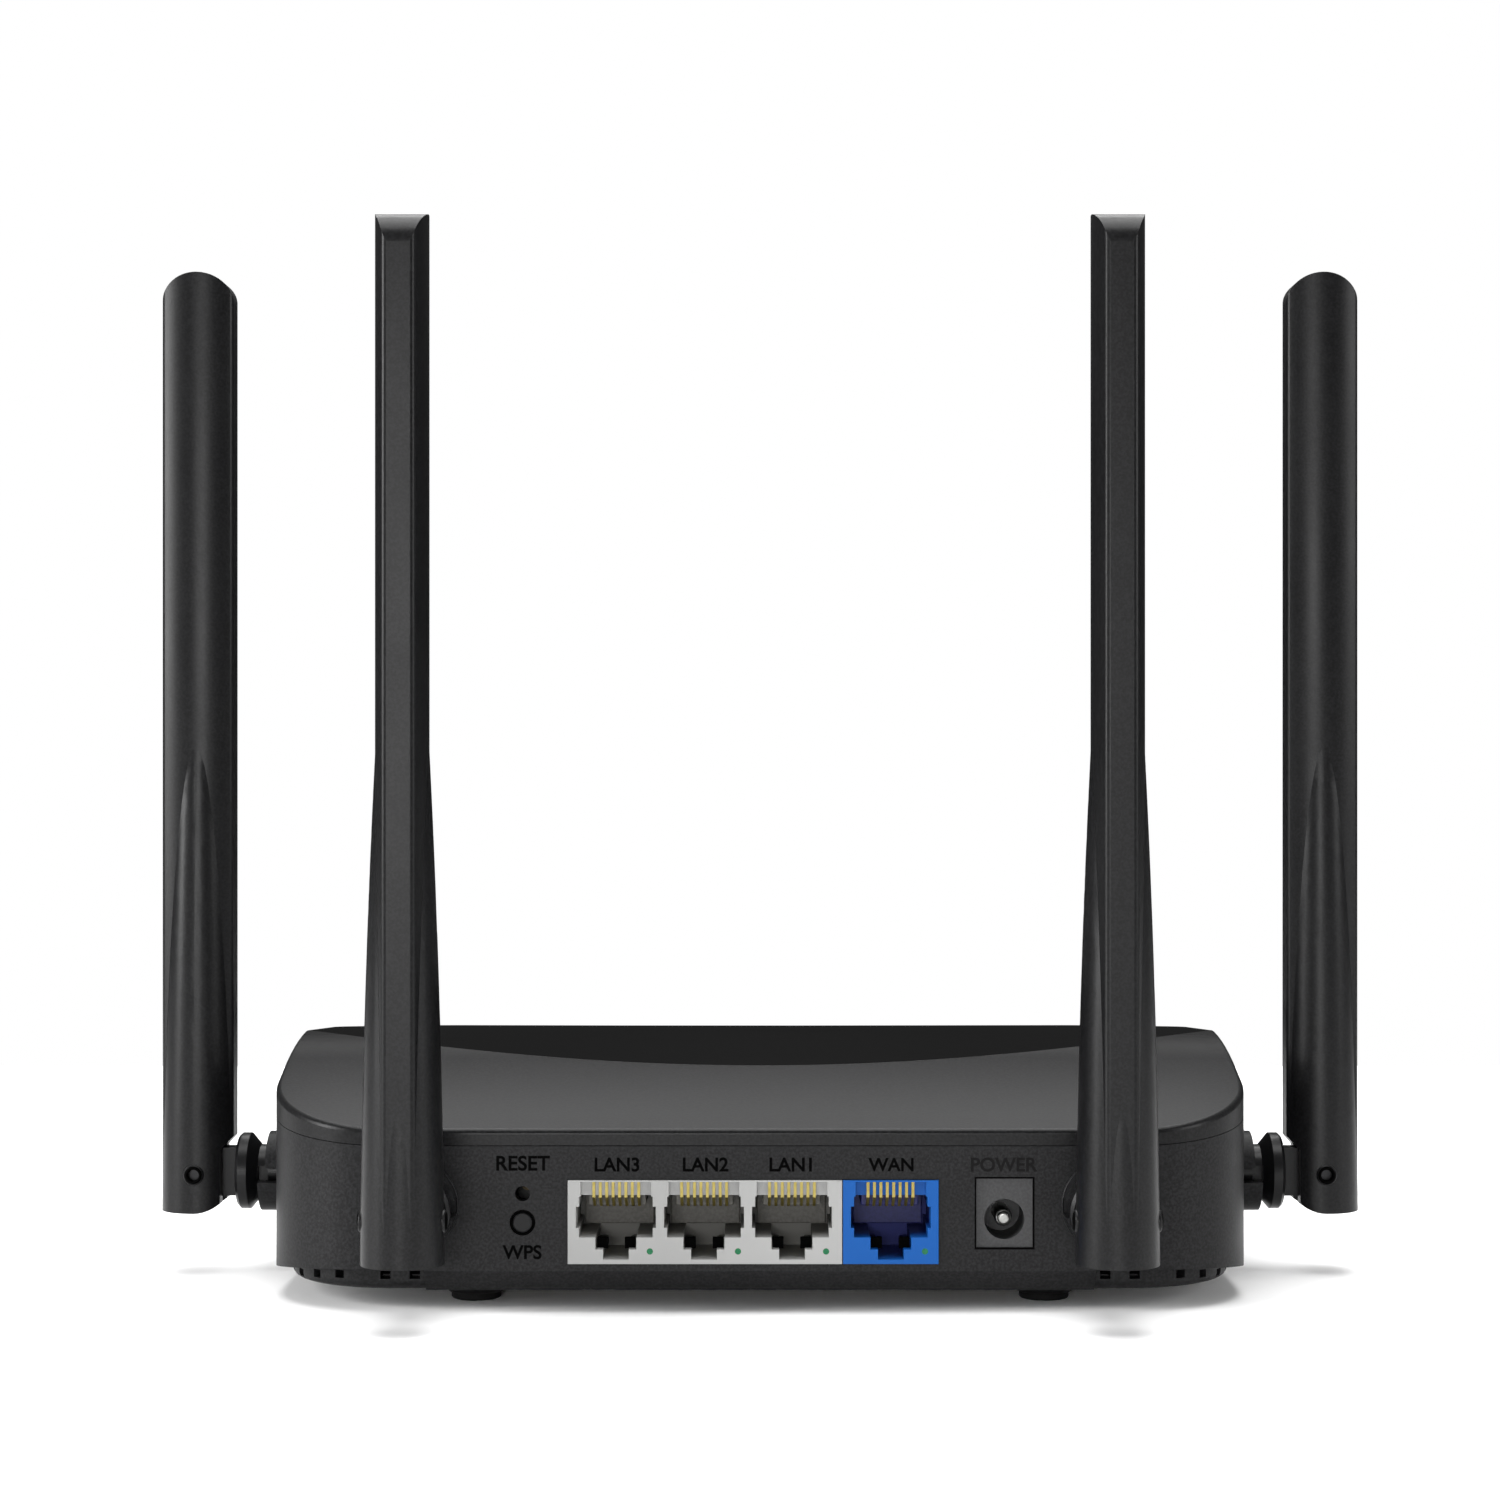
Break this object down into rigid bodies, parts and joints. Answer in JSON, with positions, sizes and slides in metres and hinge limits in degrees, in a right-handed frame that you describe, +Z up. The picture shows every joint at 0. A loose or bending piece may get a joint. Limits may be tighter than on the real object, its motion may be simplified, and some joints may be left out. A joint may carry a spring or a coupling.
{
  "type": "wireless router",
  "caption": "Desktop wireless router: rounded low housing with a sloped, dished cover, network and power sockets in the rear wall, and folding, swivelling paddle antennas.",
  "frame": {"origin": "on the surface the feet stand on, under the middle of the object's box with the antennas upright", "axes": "+Z up, sockets face -Y, +X to the right when looking at the sockets"},
  "size_m": [0.2056, 0.1261, 0.1713],
  "materials": {
    "housing_black": "fine matte spark-eroded texture",
    "smoked_lens": "polished, smoked",
    "clear_acrylic": "clear, polished",
    "led_white": "moulded",
    "circuit_board": "solder mask",
    "jack_grey": "moulded satin",
    "jack_blue": "moulded satin",
    "gold_contact": "gold plated",
    "inlet_black": "moulded satin",
    "inlet_pin_metal": "nickel plated",
    "button_black": "moulded matte",
    "switch_body": "moulded",
    "switch_plunger": "moulded",
    "chip_package": "moulded epoxy",
    "thermal_pad": "soft silicone",
    "heat_sink": "extruded",
    "tinned_shield": "tin plated",
    "capacitor_can": "sleeved can",
    "zinc_screw": "zinc plated",
    "rubber_foot": "moulded matte",
    "lead_jacket": "extruded jacket",
    "antenna_black": "fine matte spark-eroded texture",
    "knuckle_black": "moulded satin",
    "clip_nylon": "moulded",
    "hinge_pin_dark": "black oxide",
    "radiator_board": "solder mask"
  },
  "bodies": {
    "housing": {"bottom_shell": "housing_black", "top_cover": "housing_black", "light_bar": "smoked_lens", "light_guide": "clear_acrylic", "link_lamps": "clear_acrylic", "status_leds": "led_white", "main_board": "circuit_board", "lan_jack_block": "jack_grey", "wan_jack": "jack_blue", "lan_contacts": "gold_contact", "wan_contacts": "gold_contact", "inlet_housing": "inlet_black", "inlet_pin": "inlet_pin_metal", "wps_switch_body": "switch_body", "reset_switch_body": "switch_body", "processor": "chip_package", "line_transformers": "chip_package", "thermal_pad": "thermal_pad", "heat_sink": "heat_sink", "radio_shields": "tinned_shield", "capacitors": "capacitor_can", "case_screws": "zinc_screw", "board_screws": "zinc_screw", "foot_rear_left": "rubber_foot", "foot_rear_right": "rubber_foot", "foot_front_left": "rubber_foot", "foot_front_right": "rubber_foot", "antenna_lead_rear_left": "lead_jacket", "antenna_lead_rear_right": "lead_jacket", "antenna_lead_side_left": "lead_jacket", "antenna_lead_side_right": "lead_jacket"},
    "knuckle_rear_left": {"swivel_knuckle_rear_left": "knuckle_black", "retaining_clip_rear_left": "clip_nylon"},
    "antenna_rear_left": {"antenna_sleeve_rear_left": "antenna_black", "antenna_cover_rear_left": "antenna_black", "hinge_pin_rear_left": "hinge_pin_dark", "radiator_board_rear_left": "radiator_board"},
    "knuckle_rear_right": {"swivel_knuckle_rear_right": "knuckle_black", "retaining_clip_rear_right": "clip_nylon"},
    "antenna_rear_right": {"antenna_sleeve_rear_right": "antenna_black", "antenna_cover_rear_right": "antenna_black", "hinge_pin_rear_right": "hinge_pin_dark", "radiator_board_rear_right": "radiator_board"},
    "knuckle_side_left": {"swivel_knuckle_side_left": "knuckle_black", "retaining_clip_side_left": "clip_nylon"},
    "antenna_side_left": {"antenna_sleeve_side_left": "antenna_black", "antenna_cover_side_left": "antenna_black", "hinge_pin_side_left": "hinge_pin_dark", "radiator_board_side_left": "radiator_board"},
    "knuckle_side_right": {"swivel_knuckle_side_right": "knuckle_black", "retaining_clip_side_right": "clip_nylon"},
    "antenna_side_right": {"antenna_sleeve_side_right": "antenna_black", "antenna_cover_side_right": "antenna_black", "hinge_pin_side_right": "hinge_pin_dark", "radiator_board_side_right": "radiator_board"},
    "wps_button": {"wps_button_cap": "button_black", "wps_switch_plunger": "switch_plunger"},
    "reset_plunger": {"reset_switch_plunger": "switch_plunger"}
  },
  "joints": [
    {"name": "antenna_swivel_rear_left", "type": "hinge", "parent": "housing", "child": "knuckle_rear_left", "pos_m": [-0.0548, -0.04205, 0.0172], "axis": [0, 1, 0], "range_deg": [-90, 40]},
    {"name": "antenna_fold_rear_left", "type": "hinge", "parent": "knuckle_rear_left", "child": "antenna_rear_left", "pos_m": [-0.0548, -0.05655, 0.0172], "axis": [1, 0, 0], "range_deg": [0, 90]},
    {"name": "antenna_swivel_rear_right", "type": "hinge", "parent": "housing", "child": "knuckle_rear_right", "pos_m": [0.0548, -0.04205, 0.0172], "axis": [0, 1, 0], "range_deg": [-40, 90]},
    {"name": "antenna_fold_rear_right", "type": "hinge", "parent": "knuckle_rear_right", "child": "antenna_rear_right", "pos_m": [0.0548, -0.05655, 0.0172], "axis": [1, 0, 0], "range_deg": [0, 90]},
    {"name": "antenna_swivel_side_left", "type": "hinge", "parent": "housing", "child": "knuckle_side_left", "pos_m": [-0.0819, 0.001, 0.0172], "axis": [1, 0, 0], "range_deg": [-90, 90]},
    {"name": "antenna_fold_side_left", "type": "hinge", "parent": "knuckle_side_left", "child": "antenna_side_left", "pos_m": [-0.0964, 0.001, 0.0172], "axis": [0, -1, 0], "range_deg": [0, 90]},
    {"name": "antenna_swivel_side_right", "type": "hinge", "parent": "housing", "child": "knuckle_side_right", "pos_m": [0.0819, 0.001, 0.0172], "axis": [1, 0, 0], "range_deg": [-90, 90]},
    {"name": "antenna_fold_side_right", "type": "hinge", "parent": "knuckle_side_right", "child": "antenna_side_right", "pos_m": [0.0964, 0.001, 0.0172], "axis": [0, 1, 0], "range_deg": [0, 90]},
    {"name": "wps_button_press", "type": "slide", "parent": "housing", "child": "wps_button", "axis": [0, 1, 0], "range_m": [0, 0.0005], "stiffness_N_per_m": 800},
    {"name": "reset_plunger_press", "type": "slide", "parent": "housing", "child": "reset_plunger", "axis": [0, 1, 0], "range_m": [0, 0.0005], "stiffness_N_per_m": 800}
  ]
}
